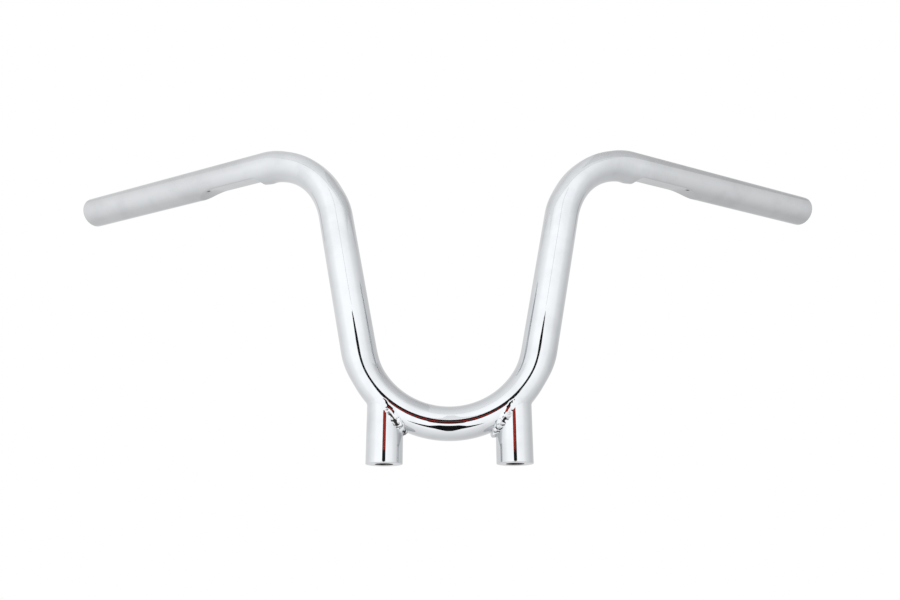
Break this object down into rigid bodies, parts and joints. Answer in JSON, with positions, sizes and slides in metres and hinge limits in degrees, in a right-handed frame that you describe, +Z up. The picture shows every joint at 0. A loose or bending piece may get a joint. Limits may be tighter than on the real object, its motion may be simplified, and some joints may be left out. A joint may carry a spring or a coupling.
{
  "type": "motorcycle handlebar",
  "caption": "Chromed tube handlebar with a U-shaped centre on built-in tapped risers, tall leaning legs and swept-back grip ends with wiring indents.",
  "frame": {"origin": "midway between the bottom faces of the risers, on those faces", "axes": "+Z up along the risers, +Y back towards the rider, +X towards the rider's left"},
  "size_m": [0.6534, 0.1321, 0.2506],
  "materials": {
    "chromed_tube": "bright chrome plate on polished steel tube",
    "chromed_riser": "bright chrome plate on turned steel bar",
    "chromed_weld": "bright chrome plate over an unground weld"
  },
  "bodies": {
    "root": {"handlebar_tube": "chromed_tube", "left_riser": "chromed_riser", "right_riser": "chromed_riser", "left_weld_bead": "chromed_weld", "right_weld_bead": "chromed_weld"}
  },
  "joints": []
}
